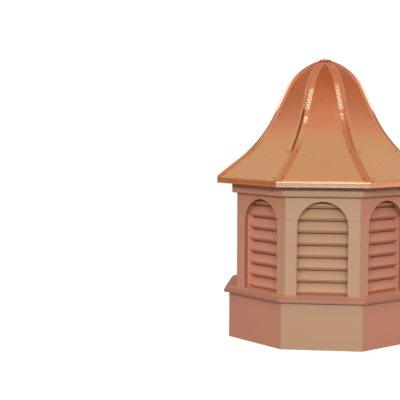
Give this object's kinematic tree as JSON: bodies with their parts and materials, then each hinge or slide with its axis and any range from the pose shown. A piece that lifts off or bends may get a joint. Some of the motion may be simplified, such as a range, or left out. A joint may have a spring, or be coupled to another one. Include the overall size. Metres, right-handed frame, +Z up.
{
  "type": "barn cupola",
  "caption": "Octagonal louvred roof cupola: plain base skirt and sill, arched openings with fixed slats, frieze, and a bell-curved copper roof with ribbed hips.",
  "frame": {"origin": "centre of the base skirt's underside, on the vertical axis", "axes": "+Z up the vertical axis to the peak, -Y out of the front face, +X to the right seen from the front"},
  "size_m": [0.862, 0.862, 1.1413],
  "materials": {
    "clay_trim": "satin clay-coloured PVC trim board",
    "clay_louvre": "satin clay-coloured PVC slats",
    "copper_sheet": "bare copper sheet, softly brushed",
    "copper_trim": "bare copper, bright on its folds",
    "block_wood": "plain softwood, unfinished"
  },
  "bodies": {
    "root": {"base_boards": "clay_trim", "sill": "clay_trim", "corner_stiles": "clay_trim", "head_board_front": "clay_trim", "head_board_front_right": "clay_trim", "head_board_right": "clay_trim", "head_board_back_right": "clay_trim", "head_board_back": "clay_trim", "head_board_back_left": "clay_trim", "head_board_left": "clay_trim", "head_board_front_left": "clay_trim", "louvre_front": "clay_louvre", "louvre_front_right": "clay_louvre", "louvre_right": "clay_louvre", "louvre_back_right": "clay_louvre", "louvre_back": "clay_louvre", "louvre_back_left": "clay_louvre", "louvre_left": "clay_louvre", "louvre_front_left": "clay_louvre", "frieze_boards": "clay_trim", "soffit_boards": "clay_trim", "eave_fascia": "copper_trim", "roof_panel_front": "copper_sheet", "roof_panel_front_right": "copper_sheet", "roof_panel_right": "copper_sheet", "roof_panel_back_right": "copper_sheet", "roof_panel_back": "copper_sheet", "roof_panel_back_left": "copper_sheet", "roof_panel_left": "copper_sheet", "roof_panel_front_left": "copper_sheet", "hip_rib_1": "copper_trim", "hip_rib_2": "copper_trim", "hip_rib_3": "copper_trim", "hip_rib_4": "copper_trim", "hip_rib_5": "copper_trim", "hip_rib_6": "copper_trim", "hip_rib_7": "copper_trim", "hip_rib_8": "copper_trim", "peak_cap": "copper_trim", "peak_block": "block_wood"}
  },
  "joints": []
}
